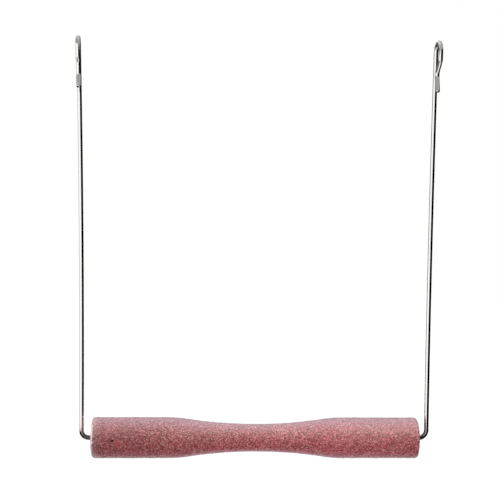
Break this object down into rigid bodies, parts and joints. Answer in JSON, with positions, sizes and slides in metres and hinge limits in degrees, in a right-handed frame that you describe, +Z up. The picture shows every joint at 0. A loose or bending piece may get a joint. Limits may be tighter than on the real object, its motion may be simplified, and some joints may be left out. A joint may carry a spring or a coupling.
{
  "type": "bird cage perch swing",
  "caption": "Bird cage swing: a waisted, sand-coated perch carried at its ends by bent wire hangers whose sprung hooks snap over a cage bar.",
  "frame": {"origin": "on the hang axis, the line through the middles of both hooks' arches, halfway between the hooks", "axes": "+Z up, +X along the perch from the left hanger to the right hanger, hook tongues towards -Y"},
  "size_m": [0.1706, 0.019, 0.1967],
  "materials": {
    "bonded_sand": "fine dyed sand bonded to the core, matt and gritty, dusty rose red with pale and dark grains",
    "turned_hardwood": "turned and drilled, unfinished, fully covered by the sand",
    "plated_wire": "bright plated spring steel wire, drawn smooth"
  },
  "bodies": {
    "left_hanger": {"left_hanger": "plated_wire"},
    "perch": {"perch_core": "turned_hardwood", "sand_coat": "bonded_sand"},
    "right_hanger": {"right_hanger": "plated_wire"}
  },
  "joints": [
    {"name": "left_pivot", "type": "hinge", "parent": "left_hanger", "child": "perch", "pos_m": [-0.0762, 0.0043, -0.182], "axis": [1, 0, 0], "continuous": true},
    {"name": "right_pivot", "type": "hinge", "parent": "perch", "child": "right_hanger", "pos_m": [0.0762, 0.0043, -0.182], "axis": [1, 0, 0], "continuous": true}
  ]
}
